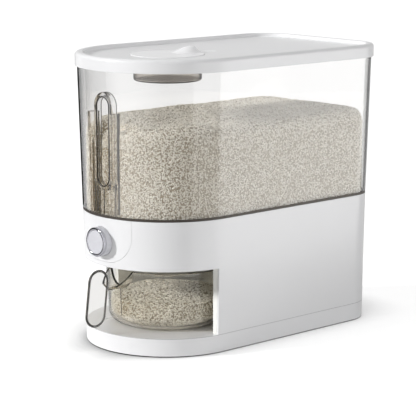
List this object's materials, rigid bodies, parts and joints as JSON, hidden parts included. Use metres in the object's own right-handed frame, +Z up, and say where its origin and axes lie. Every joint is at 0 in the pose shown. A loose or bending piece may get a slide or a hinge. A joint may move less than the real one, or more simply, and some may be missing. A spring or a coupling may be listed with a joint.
{
  "type": "rice storage container",
  "caption": "D-shaped grain bin with clear walls on a white base; a push button opens a slotted shutter and rice drops into a pull-out cup.",
  "frame": {"origin": "on the table, under the middle of the object's outline in plan", "axes": "+Z up, -Y towards the button, the cup and the user, +X to the right as seen from the front"},
  "size_m": [0.214, 0.385, 0.3426],
  "materials": {
    "white_gloss": "gloss",
    "white_inner": "satin",
    "clear_plastic": "clear",
    "smoky_plastic": "clear",
    "bright_ring": "polished",
    "seal_rubber": "matte",
    "foot_rubber": "matte",
    "steel": "satin"
  },
  "bodies": {
    "base": {"base_housing": "white_gloss", "base_tray": "white_gloss", "bottom_plate": "white_inner", "cup_bay": "white_inner", "button_panel": "white_gloss", "button_guide": "white_inner", "valve_body": "white_inner", "outlet_spout": "white_inner", "hopper_floor": "white_inner", "bin_seal": "seal_rubber", "grain_bin": "clear_plastic", "loop_rails": "clear_plastic", "front_loop": "clear_plastic", "rubber_feet": "foot_rubber", "tray_screws": "steel", "valve_screws": "steel", "return_spring": "steel"},
    "lid": {"lid": "white_gloss", "lid_seal": "seal_rubber", "desiccant_cup": "smoky_plastic", "cap_seal": "seal_rubber"},
    "cap": {"desiccant_cap": "white_gloss"},
    "button": {"button_cap": "white_gloss", "button_ring": "bright_ring", "button_stem": "white_inner", "stem_clip": "steel", "shutter_slide": "white_inner"},
    "cup": {"rice_cup": "clear_plastic", "cup_handle": "clear_plastic"}
  },
  "joints": [
    {"name": "lid_lift", "type": "slide", "parent": "base", "child": "lid", "axis": [0, 0, 1], "range_m": [0, 0.12]},
    {"name": "cap_lift", "type": "slide", "parent": "lid", "child": "cap", "axis": [0, 0, 1], "range_m": [0, 0.025]},
    {"name": "button_press", "type": "slide", "parent": "base", "child": "button", "axis": [0, 1, 0], "range_m": [0, 0.0085], "stiffness_N_per_m": 500, "springref_m": -0.004, "deforming": ["return_spring"]},
    {"name": "cup_pull", "type": "slide", "parent": "base", "child": "cup", "axis": [0, -1, 0], "range_m": [0, 0.18]}
  ]
}
